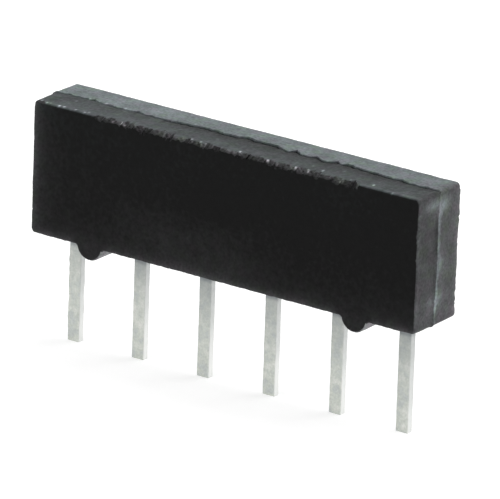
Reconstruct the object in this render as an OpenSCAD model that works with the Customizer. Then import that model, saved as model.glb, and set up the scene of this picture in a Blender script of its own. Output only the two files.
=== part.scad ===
// Moulded single in-line resistor network: a thin black block standing on one row of flat leads.
// Inside, an alumina plate carries printed resistors that share lead 1, and clips grip its lower edge.
// Millimetres. Origin: middle of the lead row on the seating plane. +X runs along the row from lead 1,
// -Y is the front and +Z is up, so the leads hang below z = 0 and the standoffs' feet lie on it.

/* [Leads] */
// Number of leads in the row
lead_count = 6; // [4:1:14]
// Distance from one lead to the next
lead_pitch = 2.54; // [2:0.01:3]
// Width of a lead
lead_w = 0.46; // [0.3:0.01:0.7]
// Thickness of the sheet that the leads are stamped from
lead_t = 0.25; // [0.15:0.01:0.35]
// Length of a lead below the seating plane
lead_drop = 3.3; // [1.5:0.05:6]

/* [Lead clips] */
// Width across a clip's shoulder
shoulder_w = 1.1; // [0.9:0.02:1.3]
// Height of a clip's shoulder
shoulder_h = 0.2; // [0.1:0.01:0.4]
// Width of the tine in front of the plate
front_tine_w = 0.36; // [0.2:0.01:0.5]
// Width of the slots between the front tine and the two rear tines
tine_slot = 0.1; // [0.05:0.01:0.15]
// Angle by which the tines spread to either side of the plate
spread_deg = 50; // [35:1:65]
// Length over which the tines grip the plate
grip_h = 0.95; // [0.6:0.05:1.2]
// Height of the flared tips of the tines
flare_h = 0.15; // [0.05:0.01:0.3]
// Distance by which the tips flare away from the plate
flare_out = 0.07; // [0.02:0.01:0.15]

/* [Body] */
// Distance from the end leads' middles to the ends of the body
body_end = 1.06; // [0.95:0.005:2]
// Thickness of the body from front to back
body_t = 2.3; // [2:0.01:3.5]
// Height of the body without its standoffs
body_h = 4.405; // [4:0.01:9]
// Draft of the body's end walls, from the parting line to either face
draft_deg = 1.7; // [0.2:0.1:5]
// Height by which the back half of the moulding stands proud of the front half
parting_step = 0.045; // [0.01:0.005:0.06]
// Corner radius of the body, seen from the front
corner_r = 0.12; // [0.02:0.01:0.3]
// Edge radius of the back half
back_edge_r = 0.1; // [0.02:0.01:0.3]
// Edge radius of the front half
front_edge_r = 0.04; // [0.01:0.01:0.3]

/* [Standoffs] */
// Height of the standoffs
standoff_h = 0.435; // [0.3:0.005:0.8]
// Width of a standoff where it leaves the body
standoff_w = 0.98; // [0.7:0.01:1.1]
// Width of a standoff's flat foot
foot_w = 0.14; // [0.1:0.01:0.5]
// Fillet between a standoff and the underside of the body
root_r = 0.1; // [0.03:0.01:0.14]

/* [Resin cover] */
// Resin between the plate and either end of the body
end_cover = 0.35; // [0.2:0.01:0.4]
// Resin above the plate
top_cover = 0.45; // [0.25:0.01:0.6]
// Resin under the clips' shoulders
bottom_cover = 0.2; // [0.1:0.01:0.4]

/* [Plate and films] */
// Thickness of the alumina plate
plate_t = 0.635; // [0.4:0.005:0.8]
// Thickness of the printed conductors
conductor_t = 0.02; // [0.01:0.005:0.05]
// Thickness of the resistor films over the conductors
resistor_t = 0.02; // [0.01:0.005:0.05]
// Thickness of the glass over the resistors
glaze_t = 0.02; // [0.01:0.005:0.05]
// Width of the pads
pad_w = 1.1; // [0.9:0.02:1.2]
// Width of a resistor
resistor_w = 1; // [0.6:0.02:1.2]
// Height of the common conductor
bus_h = 0.35; // [0.25:0.01:0.5]
// Bare border between the glass and the plate's top edge
bare_edge = 0.12; // [0.05:0.01:0.2]
// Distance by which the glass laps past the films
glaze_lap = 0.05; // [0.02:0.01:0.08]
// Length by which a resistor laps onto its conductors
film_lap = 0.2; // [0.1:0.01:0.22]
// Length of the laser cut that trims a resistor to value
trim_l = 0.45; // [0.1:0.01:0.5]
// Width of that cut
trim_w = 0.06; // [0.03:0.01:0.1]

/* [Solder] */
// Thickness of the solder between a pad and its front tine
solder_t = 0.04; // [0.02:0.005:0.08]
// Width of the solder fillet at each side of the front tine
solder_spread = 0.2; // [0.1:0.01:0.25]
// Height to which the solder climbs the sides of the front tine
solder_climb = 0.16; // [0.08:0.01:0.2]
// Length of the solder past the front tine's tip
solder_toe = 0.08; // [0.03:0.01:0.15]
// Bare pad between the solder and the glass
solder_stop = 0.05; // [0.02:0.01:0.1]

/* [Hidden] */
// Angle of each straight step along a rounded edge
arc_step_deg = 15;

row_l = (lead_count - 1) * lead_pitch;
body_l = row_l + 2 * body_end;
body_z0 = standoff_h;
body_z1 = body_z0 + body_h;

// Middles of the tines' sheet in front of the plate and behind it
front_tine_y = plate_t / 2 + conductor_t + solder_t + lead_t / 2;
rear_tine_y = plate_t / 2 + lead_t / 2;
rear_tine_w = (shoulder_w - front_tine_w) / 2 - tine_slot;

// Heights, from the body's underside up to the tines' tips
shoulder_z0 = body_z0 + bottom_cover;
shoulder_z1 = shoulder_z0 + shoulder_h;
spread_rise = front_tine_y / tan(spread_deg) + lead_t / 2 * tan(spread_deg / 2);
plate_z0 = shoulder_z1 + spread_rise;
plate_z1 = body_z1 - top_cover;
plate_l = body_l - 2 * end_cover;
grip_z1 = plate_z0 + grip_h;
tine_z1 = grip_z1 + flare_h;

// Heights of the films on the plate's front
solder_z1 = tine_z1 + solder_toe;
glaze_z0 = solder_z1 + solder_stop;
resistor_z0 = glaze_z0 + glaze_lap;
pad_z1 = resistor_z0 + film_lap;
glaze_z1 = plate_z1 - bare_edge;
bus_z1 = glaze_z1 - glaze_lap;
bus_z0 = bus_z1 - bus_h;
resistor_z1 = bus_z0 + film_lap;

// Distances of the films' surfaces from the middle of the plate
print_y = plate_t / 2;
pad_y = print_y + conductor_t;
resistor_y = pad_y + resistor_t;
glaze_y = resistor_y + glaze_t;

function lead_x(i) = (i - 1) * lead_pitch - row_l / 2;
function unit(v) = v / norm(v);

// Points of an arc about a centre, from one angle to another
function arc(centre, r, from, to) =
  let (steps = max(2, round(abs(to - from) / arc_step_deg)))
  [for (i = [0 : steps]) let (a = from + (to - from) * i / steps) centre + r * [cos(a), sin(a)]];

// The rounded corner of an outline at p, between its neighbours on either side, anticlockwise
function corner(before, p, after, r) =
  let (
    u = unit(before - p),
    v = unit(after - p),
    half = acos(u * v) / 2,
    centre = p + unit(u + v) * r / sin(half),
    start = p + u * r / tan(half) - centre,
    from = atan2(start.y, start.x)
  )
  arc(centre, r, from, from + 180 - 2 * half);

// An anticlockwise outline through [x, y, radius] corners, where a radius of 0 stays sharp
function outline(corners) = [
  for (i = [0 : len(corners) - 1])
  let (
    n = len(corners),
    xy = function (c) [c.x, c.y],
    p = corners[i],
    before = corners[(i + n - 1) % n],
    after = corners[(i + 1) % n]
  )
  each p.z > 0 ? corner(xy(before), xy(p), xy(after), p.z) : [xy(p)]
];

// The outline of bent sheet of thickness t along a path, with mitred bends and level ends
function bent_sheet(path, t) =
  let (
    last = len(path) - 1,
    way = [for (i = [0 : last - 1]) unit(path[i + 1] - path[i])],
    right = [for (w = way) [w.y, -w.x]],
    mitre = [
      for (i = [0 : last])
      i == 0 || i == last ? [1, 0] : (right[i - 1] + right[i]) / (1 + right[i - 1] * right[i])
    ]
  )
  concat(
    [for (i = [0 : last]) path[i] + mitre[i] * t / 2],
    [for (i = [last : -1 : 0]) path[i] - mitre[i] * t / 2]
  );

// An outline in X and Z, carried along Y about the parting plane
module through_y(depth) {
  rotate([90, 0, 0]) linear_extrude(depth, center = true) children();
}

// An outline in Y and Z, carried along X about the middle of the row
module through_x(width) {
  rotate([90, 0, 90]) linear_extrude(width, center = true) children();
}

// A printed layer on the plate's front, between two distances from the plate's middle
module printed(y0, y1) {
  translate([0, -(y0 + y1) / 2, 0]) through_y(y1 - y0) children();
}

// A rectangle between two corners
module field(x0, z0, x1, z1) {
  translate([x0, z0]) square([x1 - x0, z1 - z0]);
}

// One side of a standoff, from the underside of the body down to the foot, about x = 0 on the right:
// a fillet, then an arc that runs through the standoff's root and the edge of its flat foot
function standoff_side() =
  let (
    half_w = standoff_w / 2,
    half_foot = foot_w / 2,
    dip = (half_foot ^ 2 + standoff_h ^ 2 - half_w ^ 2) / (2 * standoff_h),
    rib_r = norm([half_w, dip]),
    rib = [0, body_z0 - dip],
    root_x = sqrt((rib_r + root_r) ^ 2 - (root_r - dip) ^ 2),
    root = [root_x, body_z0 - root_r],
    touch = atan2(root.y - rib.y, root.x - rib.x),
    foot = atan2(-rib.y, half_foot)
  )
  concat(arc(root, root_r, 90, 180 + touch), arc(rib, rib_r, touch, foot));

// A whole standoff's edge, left to right, about its own middle
function standoff_edge() =
  let (side = standoff_side(), last = len(side) - 1)
  concat(
    [for (p = side) [-p.x, p.y]],
    [for (i = [last : -1 : 0]) side[i]]
  );

// The body from the front: a block with round corners on two standoffs, each midway between two leads
module front_outline() {
  half_l = body_l / 2;
  half_r = half_l - corner_r;
  low = body_z0 + corner_r;
  high = body_z1 - corner_r;
  polygon(concat(
    arc([-half_r, low], corner_r, 180, 270),
    [for (x = [lead_x(1) + lead_pitch / 2, lead_x(lead_count) - lead_pitch / 2])
      for (p = standoff_edge()) [x + p.x, p.y]],
    arc([half_r, low], corner_r, 270, 360),
    arc([half_r, high], corner_r, 0, 90),
    arc([-half_r, high], corner_r, 90, 180)
  ));
}

// The body from above: both halves taper away from the parting line, and the back half is the longer
module plan_outline() {
  half_t = body_t / 2;
  back_l = body_l / 2;
  front_l = back_l - parting_step;
  taper = half_t * tan(draft_deg);
  polygon(outline([
    [-front_l + taper, -half_t, front_edge_r],
    [front_l - taper, -half_t, front_edge_r],
    [front_l, 0, 0],
    [back_l, 0, 0],
    [back_l - taper, half_t, back_edge_r],
    [-back_l + taper, half_t, back_edge_r],
    [-back_l, 0, 0],
    [-front_l, 0, 0],
  ]));
}

// The body from the end: the back half is the taller
module end_outline() {
  half_t = body_t / 2;
  polygon(outline([
    [-half_t, 0, 0],
    [half_t, 0, 0],
    [half_t, body_z1, back_edge_r],
    [0, body_z1, 0],
    [0, body_z1 - parting_step, 0],
    [-half_t, body_z1 - parting_step, front_edge_r],
  ]));
}

// The black moulding, filled solid round everything that it encloses
module body() {
  color("#21211f") difference() {
    intersection() {
      through_y(body_t) front_outline();
      linear_extrude(body_z1) plan_outline();
      through_x(body_l) end_outline();
    }
    substrate();
    conductor_bus();
    overglaze();
    for (i = [1 : lead_count]) {
      lead(i);
      solder(i);
    }
    for (i = [2 : lead_count]) {
      conductor_pad(i);
      resistor(i - 1);
    }
  }
}

// The alumina plate
module substrate() {
  color("#e9e6dc") through_y(plate_t) field(-plate_l / 2, plate_z0, plate_l / 2, plate_z1);
}

// A pad's outline, from the plate's lower edge up to where its resistor begins
module pad_field(i) {
  field(lead_x(i) - pad_w / 2, plate_z0, lead_x(i) + pad_w / 2, pad_z1);
}

// The common conductor: a rail above the resistors, joined to the pad of lead 1
module conductor_bus() {
  reach = row_l / 2 + pad_w / 2;
  color("#c9c6bd") printed(print_y, pad_y) {
    pad_field(1);
    field(lead_x(1) - pad_w / 2, pad_z1, lead_x(1) + pad_w / 2, bus_z0);
    field(-reach, bus_z0, reach, bus_z1);
  }
}

// The pad of one of the other leads
module conductor_pad(i) {
  color("#c9c6bd") printed(print_y, pad_y) pad_field(i);
}

// A resistor film, levelled over its pad and the common conductor, and trimmed by a cut from one side
module resistor(i) {
  x = lead_x(i + 1);
  mid = (pad_z1 + bus_z0) / 2;
  color("#2b2a2c") difference() {
    printed(print_y, resistor_y) difference() {
      field(x - resistor_w / 2, resistor_z0, x + resistor_w / 2, resistor_z1);
      field(x - resistor_w / 2 - trim_w, mid - trim_w / 2, x - resistor_w / 2 + trim_l, mid + trim_w / 2);
    }
    conductor_bus();
    conductor_pad(i + 1);
  }
}

// The glass over the resistors and the common conductor, which also fills the trim cuts
module overglaze() {
  reach = row_l / 2 + pad_w / 2 + glaze_lap;
  color("#3f5a4a") difference() {
    printed(print_y, glaze_y) field(-reach, glaze_z0, reach, glaze_z1);
    conductor_bus();
    for (i = [2 : lead_count]) {
      conductor_pad(i);
      resistor(i - 1);
    }
  }
}

// A tine's edge: out of the shoulder, spread to one side of the plate (+1 behind, -1 in front),
// straight up along it, and flared away from it at the tip
module tine_edge(side, y) {
  polygon(bent_sheet([
    [0, shoulder_z0],
    [0, shoulder_z1],
    [side * y, shoulder_z1 + y / tan(spread_deg)],
    [side * y, grip_z1],
    [side * (y + flare_out), tine_z1],
  ], lead_t));
}

// A lead, stamped and bent from one strip: stem, shoulder, one tine in front of the plate, two behind it
module lead(i) {
  rear_x = (shoulder_w - rear_tine_w) / 2;
  color("#b9beb9") translate([lead_x(i), 0, 0]) {
    through_y(lead_t) {
      field(-lead_w / 2, -lead_drop, lead_w / 2, shoulder_z1);
      field(-shoulder_w / 2, shoulder_z0, shoulder_w / 2, shoulder_z1);
    }
    through_x(front_tine_w) tine_edge(-1, front_tine_y);
    for (x = [-rear_x, rear_x]) translate([x, 0, 0]) through_x(rear_tine_w) tine_edge(1, rear_tine_y);
  }
}

// The solder that joins a lead's front tine to its pad: a wedge across the tine, fitted round it
module solder(i) {
  foot = front_tine_w / 2 + solder_spread;
  crest = front_tine_w / 2;
  crest_y = pad_y + solder_t + solder_climb;
  color("#a9adab") difference() {
    translate([lead_x(i), 0, plate_z0]) linear_extrude(solder_z1 - plate_z0)
      polygon([[-crest, -crest_y], [crest, -crest_y], [foot, -pad_y], [-foot, -pad_y]]);
    lead(i);
  }
}

body();
substrate();
conductor_bus();
overglaze();
for (i = [1 : lead_count]) {
  lead(i);
  solder(i);
}
for (i = [2 : lead_count]) {
  conductor_pad(i);
  resistor(i - 1);
}
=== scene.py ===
# %% [markdown]
# # A moulded resistor network
# The part is a thin black block on six flat tinned leads, with a printed ceramic plate sealed inside.
# The CAD frame already holds every piece at its real size. This lesson gives each piece the surface of the
# real one: the ragged parting line, the chipped edge, the wavy tin, and a finish for every material.

import bpy
import numpy as np
from mathutils import Matrix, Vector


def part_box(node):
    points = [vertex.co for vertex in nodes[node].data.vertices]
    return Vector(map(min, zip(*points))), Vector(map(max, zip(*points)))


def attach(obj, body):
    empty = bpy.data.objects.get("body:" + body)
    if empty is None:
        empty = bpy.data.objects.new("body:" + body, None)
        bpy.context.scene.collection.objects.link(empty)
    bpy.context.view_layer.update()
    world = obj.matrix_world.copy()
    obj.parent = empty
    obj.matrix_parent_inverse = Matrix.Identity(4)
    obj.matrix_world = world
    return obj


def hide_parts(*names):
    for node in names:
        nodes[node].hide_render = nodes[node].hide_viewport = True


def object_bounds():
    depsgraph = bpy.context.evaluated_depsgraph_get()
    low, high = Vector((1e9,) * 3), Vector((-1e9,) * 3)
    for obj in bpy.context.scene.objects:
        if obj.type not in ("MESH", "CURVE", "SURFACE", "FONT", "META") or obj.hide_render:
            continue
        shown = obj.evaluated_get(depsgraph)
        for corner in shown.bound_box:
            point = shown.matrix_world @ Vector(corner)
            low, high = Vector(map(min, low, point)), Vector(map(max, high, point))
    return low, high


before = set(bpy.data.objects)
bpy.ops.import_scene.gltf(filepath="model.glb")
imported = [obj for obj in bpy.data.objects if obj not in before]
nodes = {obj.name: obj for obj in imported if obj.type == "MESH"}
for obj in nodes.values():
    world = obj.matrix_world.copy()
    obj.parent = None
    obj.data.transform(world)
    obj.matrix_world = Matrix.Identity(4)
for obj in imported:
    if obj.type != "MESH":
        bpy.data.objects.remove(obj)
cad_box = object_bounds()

# Lengths are in millimetres throughout, and MM turns them into Blender's metres
MM = 0.001
print("frame:", len(nodes), "nodes, box in mm", [[round(v / MM, 3) for v in corner] for corner in cad_box])

# %% [markdown]
# ## Camera
# Small parts are photographed with a long lens from far away, so their edges stay almost parallel. The
# camera is placed by two angles about the part, a distance, and a small roll. Its three axes are written
# straight into a matrix, which avoids any doubt about the order of rotations.

# %% Camera
AZIMUTH, ELEVATION, ROLL = np.radians([34.643, 19.519, 1.977])
AIM = np.array([0.302, 0.004, 1.303])
DISTANCE = 274.91
NEAR_LIMIT = 10.0
# Focal length and picture width in pixels, and the sensor's width
FOCAL_PIXELS = 8777.0
IMAGE_PIXELS = 500
SENSOR = 36.0


def camera_axes(azimuth, elevation, roll):
    """Right, up and back: back points from the part to the eye, right is level, and both then roll."""
    level = np.cos(elevation)
    back = np.array([np.sin(azimuth) * level, -np.cos(azimuth) * level, np.sin(elevation)])
    right = np.array([np.cos(azimuth), np.sin(azimuth), 0.0])
    up = np.cross(back, right)
    return np.cos(roll) * right + np.sin(roll) * up, np.cos(roll) * up - np.sin(roll) * right, back


right, up, back = camera_axes(AZIMUTH, ELEVATION, ROLL)
eye = AIM + back * DISTANCE
camera_data = bpy.data.cameras.new("long_lens")
camera_data.sensor_width = SENSOR
camera_data.lens = FOCAL_PIXELS / IMAGE_PIXELS * SENSOR
camera_data.clip_start = NEAR_LIMIT * MM
camera = bpy.data.objects.new("camera", camera_data)
camera.matrix_world = Matrix.Translation(eye * MM) @ Matrix(np.stack([right, up, back], 1)).to_4x4()
bpy.context.scene.collection.objects.link(camera)
bpy.context.scene.camera = camera
print("camera: lens", round(camera_data.lens, 1), "mm at", eye.round(1), "mm")

# %% [markdown]
# ## Nodes in code
# A material is a small graph. These helpers add one shader node, set its plain values, and join a socket to
# another, so that each material below reads as a short list of what feeds what.

# %% Node helpers
# The range in which most values of a noise lie
NOISE_LOW, NOISE_HIGH = 0.3, 0.7


def new_material(name):
    """An empty material with its output node, and the node tree to build in."""
    material = bpy.data.materials.new(name)
    material.use_nodes = True
    tree = material.node_tree
    tree.nodes.clear()
    return material, tree, tree.nodes.new("ShaderNodeOutputMaterial")


def add(tree, kind, values=None, **settings):
    """A node of a kind, with its settings, and with plain values or links by a socket's name or number."""
    node = tree.nodes.new("ShaderNode" + kind)
    for key, setting in settings.items():
        setattr(node, key, setting)
    for socket, value in (values or {}).items():
        if isinstance(value, bpy.types.NodeSocket):
            tree.links.new(value, node.inputs[socket])
        else:
            node.inputs[socket].default_value = value
    return node


def ramp(tree, factor, *stops):
    """A colour ramp through (place, grey or colour) stops."""
    node = add(tree, "ValToRGB", {"Fac": factor})
    while len(node.color_ramp.elements) < len(stops):
        node.color_ramp.elements.new(1.0)
    for element, (place, colour) in zip(node.color_ramp.elements, stops):
        element.position = place
        element.color = (colour,) * 3 + (1,) if isinstance(colour, float) else tuple(colour) + (1,)
    return node.outputs["Color"]


def spread(tree, noise, low, high):
    """A ramp from one grey or colour to another over the usual range of a noise."""
    return ramp(tree, noise, (NOISE_LOW, low), (NOISE_HIGH, high))


def grain(tree, size_mm, detail=2.0, roughness=0.5):
    """Noise in the piece's own coordinates, with blotches about `size_mm` across."""
    noise = add(tree, "TexNoise", {
        "Vector": add(tree, "TexCoord").outputs["Object"],
        "Scale": 1 / (size_mm * MM),
        "Detail": detail,
        "Roughness": roughness,
    })
    return noise.outputs["Fac"]


# %% Helpers for relief and sums
def relief(tree, height, depth_mm, strength):
    """A bump of a real depth from a height between 0 and 1."""
    bump = add(tree, "Bump", {"Height": height, "Distance": depth_mm * MM, "Strength": strength})
    return bump.outputs["Normal"]


def attribute(tree, name):
    """A number that the mesh carries at each vertex."""
    return add(tree, "Attribute", attribute_name=name).outputs["Fac"]


def math(tree, operation, first, second):
    """One sum of two numbers, where each may be a socket."""
    return add(tree, "Math", {0: first, 1: second}, operation=operation).outputs["Value"]


def bare_view(tree):
    """1 where a ray comes from the camera, a gloss or a clear surface, and 0 where it only carries light."""
    path = add(tree, "LightPath").outputs
    seen = math(tree, "MAXIMUM", path["Is Camera Ray"], path["Is Glossy Ray"])
    return math(tree, "MAXIMUM", seen, path["Is Transmission Ray"])


# %% [markdown]
# ## A plain white studio
# The real part was lit on white, with soft light from all round. A world of one colour gives that light, and
# two large softboxes give it a direction. The world looks white to the camera and to reflections, while the
# light that it casts stays at a plain level, so colours come out about as they are written.

# %% World and lamps
WORLD_LIGHT = 0.55
# Each softbox: the direction it stands in, its distance, its width, and how bright it makes a white card
SOFTBOXES = {
    "top_softbox": ((0.35, 0.25, 0.9), 220, 180, 0.45),
    "front_softbox": ((-0.5, -0.75, 0.45), 260, 200, 0.2),
}


def white_world():
    """A world that is white to look at and softer as a light."""
    world = bpy.data.worlds.new("studio")
    world.use_nodes = True
    tree = world.node_tree
    tree.nodes.clear()
    strength = math(tree, "MAXIMUM", bare_view(tree), WORLD_LIGHT)
    light = add(tree, "Background", {"Color": (1, 1, 1, 1), "Strength": strength})
    output = tree.nodes.new("ShaderNodeOutputWorld")
    tree.links.new(light.outputs["Background"], output.inputs["Surface"])
    return world


def softbox(name, direction, distance, size, level):
    """A square lamp aimed at the part. Its power is level x pi squared x distance squared, which makes a
    white card at the part that faces the lamp as bright as `level`."""
    lamp = bpy.data.lights.new(name, "AREA")
    lamp.size = size * MM
    lamp.energy = level * np.pi * np.pi * (distance * MM) ** 2
    toward = np.array(direction, float) / np.linalg.norm(direction)
    side = np.cross([0, 0, 1], toward)
    side /= np.linalg.norm(side)
    axes = Matrix(np.stack([side, np.cross(toward, side), toward], 1)).to_4x4()
    lamp_object = bpy.data.objects.new(name, lamp)
    lamp_object.matrix_world = Matrix.Translation((AIM + toward * distance) * MM) @ axes
    bpy.context.scene.collection.objects.link(lamp_object)


bpy.context.scene.world = white_world()
for name, setup in SOFTBOXES.items():
    softbox(name, *setup)
bpy.context.scene.view_settings.view_transform = "Standard"
print("light: world", WORLD_LIGHT, "and", *SOFTBOXES)

# %% [markdown]
# ## The floor
# The part stands on a sheet of white card, which catches a faint shadow. Card by itself would look grey
# beside the white world, so it also glows a little where it is looked at, and only there. It is a disc of
# rings that lie closer together near the part.

# %% Floor
FLOOR_RADIUS = 160.0
FLOOR_ALBEDO = 0.8
FLOOR_LIFT = 0.5
CARD_GRAIN, CARD_CONTRAST = 1.5, 0.02


def floor_disc(z, radius, rings=24, spokes=96):
    """A level disc: points at (r cos t, r sin t), with r growing as a square so rings are closer inside."""
    r = radius * (np.arange(1, rings + 1) / rings)[:, None] ** 2
    t = np.linspace(0, 2 * np.pi, spokes, endpoint=False)[None, :]
    points = np.stack([r * np.cos(t), r * np.sin(t), np.full((rings, spokes), z)], -1).reshape(-1, 3)
    index = np.arange(rings * spokes).reshape(rings, spokes)
    turned = np.roll(index, -1, 1)
    quads = np.stack([index[:-1], index[1:], turned[1:], turned[:-1]], -1).reshape(-1, 4)
    mesh = bpy.data.meshes.new("floor")
    mesh.from_pydata((points * MM).tolist(), [], quads.tolist() + [index[0].tolist()])
    return bpy.data.objects.new("floor", mesh)


def floor_material():
    """Matt white card that lifts itself to full white where it is looked at and not in shadow."""
    material, tree, output = new_material("white_card")
    tooth = spread(tree, grain(tree, CARD_GRAIN), FLOOR_ALBEDO, FLOOR_ALBEDO + CARD_CONTRAST)
    card = add(tree, "BsdfDiffuse", {"Color": tooth})
    lift = add(tree, "Emission", {"Strength": math(tree, "MULTIPLY", bare_view(tree), FLOOR_LIFT)})
    both = add(tree, "AddShader", {0: card.outputs[0], 1: lift.outputs[0]})
    tree.links.new(both.outputs[0], output.inputs["Surface"])
    return material


floor = floor_disc(cad_box[0][2] / MM, FLOOR_RADIUS)
floor.data.materials.append(floor_material())
bpy.context.scene.collection.objects.link(floor)
print("floor: at z", round(cad_box[0][2] / MM, 3), "mm")

# %% [markdown]
# ## The outline of the moulded block
# Seen from the front the block is a rectangle with round corners on two half-round standoffs. The outline
# is one closed ring of points, made from straights and arcs. They are closest together along the top,
# because the ragged parting line and the chipped edge there need the detail.

# %% Sizes of the block
body_low, body_high = [np.array(corner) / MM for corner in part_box("body")]
HALF_L, HALF_T, TOP_Z = body_high
STANDOFF_H = 0.435
STANDOFF_W = 0.98
FOOT_W = 0.14
ROOT_R = 0.1
CORNER_R, LEFT_CORNER_R = 0.16, 0.1
BASE_Z = body_low[2] + STANDOFF_H
LEAD_COUNT = 6
lead_boxes = [[np.array(corner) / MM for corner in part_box(f"lead_{i}")] for i in range(1, LEAD_COUNT + 1)]
lead_middles = [(low[0] + high[0]) / 2 for low, high in lead_boxes]
STANDOFF_MIDDLES = [(lead_middles[0] + lead_middles[1]) / 2, (lead_middles[4] + lead_middles[5]) / 2]
print("block:", *(body_high - body_low).round(3), "mm, standoffs at x", np.round(STANDOFF_MIDDLES, 3), "mm")

# %% Outline of the block
# Gaps between the ring's points along its sides, and steps along its arcs
TOP_GAP, END_GAP, BASE_GAP = 0.024, 0.036, 0.05
ROOT_STEPS, RIB_STEPS, CORNER_STEPS = 8, 16, 3
TOP, LEFT, BASE, RIGHT = range(4)


def straight(start, end, gap):
    """Points from start towards end, evenly spaced about `gap` apart, without the end itself."""
    start, end = np.array(start), np.array(end)
    count = max(1, int(np.ceil(np.linalg.norm(end - start) / gap)))
    return start + (end - start) * (np.arange(count) / count)[:, None]


def arc(middle, radius, first, last, count):
    """Points on a circle about `middle`, between two angles in degrees, without the last one."""
    angle = np.radians(first + (last - first) * np.arange(count) / count)
    return np.array(middle) + radius * np.stack([np.cos(angle), np.sin(angle)], -1)


def standoff(middle):
    """A half-round standoff, left to right: a fillet, the rib's arc, a flat foot, and the same again."""
    half, foot = STANDOFF_W / 2, FOOT_W / 2
    dip = (foot**2 + STANDOFF_H**2 - half**2) / (2 * STANDOFF_H)
    rib_r = np.hypot(half, dip)
    rib_z = BASE_Z - dip
    root_x = np.sqrt((rib_r + ROOT_R) ** 2 - (ROOT_R - dip) ** 2)
    root_z = BASE_Z - ROOT_R
    touch = np.degrees(np.arctan2(root_z - rib_z, root_x))
    edge = np.degrees(np.arctan2(body_low[2] - rib_z, foot))
    return np.concatenate([
        arc((middle - root_x, root_z), ROOT_R, 90, -touch, ROOT_STEPS),
        arc((middle, rib_z), rib_r, 180 - touch, 180 - edge, RIB_STEPS),
        straight((middle - foot, body_low[2]), (middle + foot, body_low[2]), BASE_GAP),
        arc((middle, rib_z), rib_r, edge, touch, RIB_STEPS),
        arc((middle + root_x, root_z), ROOT_R, 180 + touch, 90, ROOT_STEPS),
        [[middle + root_x, BASE_Z]],
    ])


def block_outline():
    """The ring from the top right corner round to the left, and which side each of its points is on."""
    x, low, high = HALF_L - CORNER_R, BASE_Z + CORNER_R, TOP_Z - CORNER_R
    left_x, left_high = LEFT_CORNER_R - HALF_L, TOP_Z - LEFT_CORNER_R
    left_rib, right_rib = (standoff(middle) for middle in STANDOFF_MIDDLES)
    sides = [
        (TOP, straight((x, TOP_Z), (left_x, TOP_Z), TOP_GAP)),
        (TOP, arc((left_x, left_high), LEFT_CORNER_R, 90, 135, CORNER_STEPS)),
        (LEFT, arc((left_x, left_high), LEFT_CORNER_R, 135, 180, CORNER_STEPS)),
        (LEFT, straight((-HALF_L, left_high), (-HALF_L, low), END_GAP)),
        (LEFT, arc((-x, low), CORNER_R, 180, 225, CORNER_STEPS)),
        (BASE, arc((-x, low), CORNER_R, 225, 270, CORNER_STEPS)),
        (BASE, straight((-x, BASE_Z), left_rib[0], BASE_GAP)),
        (BASE, left_rib[:-1]),
        (BASE, straight(left_rib[-1], right_rib[0], BASE_GAP)),
        (BASE, right_rib[:-1]),
        (BASE, straight(right_rib[-1], (x, BASE_Z), BASE_GAP)),
        (BASE, arc((x, low), CORNER_R, 270, 315, CORNER_STEPS)),
        (RIGHT, arc((x, low), CORNER_R, 315, 360, CORNER_STEPS)),
        (RIGHT, straight((HALF_L, low), (HALF_L, high), END_GAP)),
        (RIGHT, arc((x, high), CORNER_R, 0, 45, CORNER_STEPS)),
        (TOP, arc((x, high), CORNER_R, 45, 90, CORNER_STEPS)),
    ]
    ring = np.concatenate([points for _, points in sides])
    side = np.concatenate([np.full(len(points), label) for label, points in sides])
    return ring, side


ring, side = block_outline()
along = np.roll(ring, -1, 0) - np.roll(ring, 1, 0)
outward = np.stack([along[:, 1], -along[:, 0]], -1) / np.linalg.norm(along, axis=1)[:, None]
print("outline:", len(ring), "points, from", ring.min(0).round(3), "to", ring.max(0).round(3), "mm")

# %% [markdown]
# ## Where the two halves of the mould met
# The tool closed about the middle of the block, but not cleanly: the back half came out a little higher, and
# resin crept along the joint. So the line between the halves wanders. Along the top it makes short teeth at
# the left, a long dark step in the middle, and three pointed tongues. A list of places gives the large
# swings, and random heights on a line, joined by straight stretches, give the small jags.

# %% Parting line
# Along the top: x, the y at which the halves meet, and the height of the step there
RAGGED_TOP = (
    (-7.4, -0.06, 0.02), (-6.85, 0.09, 0.04), (-6.72, 0.02, 0.03), (-6.2, 0.08, 0.025), (-6.05, 0.03, 0.03),
    (-5.97, 0.15, 0.05), (-5.85, 0.06, 0.03), (-5.5, -0.04, 0.025), (-5.3, 0.04, 0.04), (-4.9, -0.01, 0.03),
    (-4.4, 0.0, 0.02), (-4.2, 0.1, 0.045), (-4.0, 0.01, 0.03), (-3.75, -0.01, 0.02), (-3.68, 0.06, 0.035),
    (-3.5, -0.01, 0.025), (-3.1, 0.03, 0.05), (-2.5, 0.1, 0.05), (-1.9, 0.15, 0.045), (-1.25, 0.2, 0.05),
    (-0.95, 0.15, 0.05), (-0.4, 0.17, 0.055), (-0.15, 0.31, 0.06), (0.35, 0.22, 0.055), (1.05, 0.23, 0.06),
    (1.3, 0.1, 0.03), (1.62, -0.02, 0.025), (1.75, 0.24, 0.06), (2.05, 0.05, 0.03), (2.4, 0.06, 0.03),
    (2.55, 0.2, 0.06), (2.75, 0.06, 0.04), (3.05, -0.01, 0.03), (3.2, 0.05, 0.04), (3.34, 0.2, 0.05),
    (3.5, 0.08, 0.015), (3.6, 0.1, 0.02), (3.68, 0.25, 0.06), (4.05, 0.17, 0.055), (4.7, 0.08, 0.05),
    (5.4, 0.08, 0.04), (5.55, 0.0, 0.03), (5.85, 0.11, 0.045), (6.1, 0.0, 0.035), (6.6, -0.03, 0.03),
    (6.8, 0.04, 0.045), (7.4, 0.0, 0.02),
)
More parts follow.
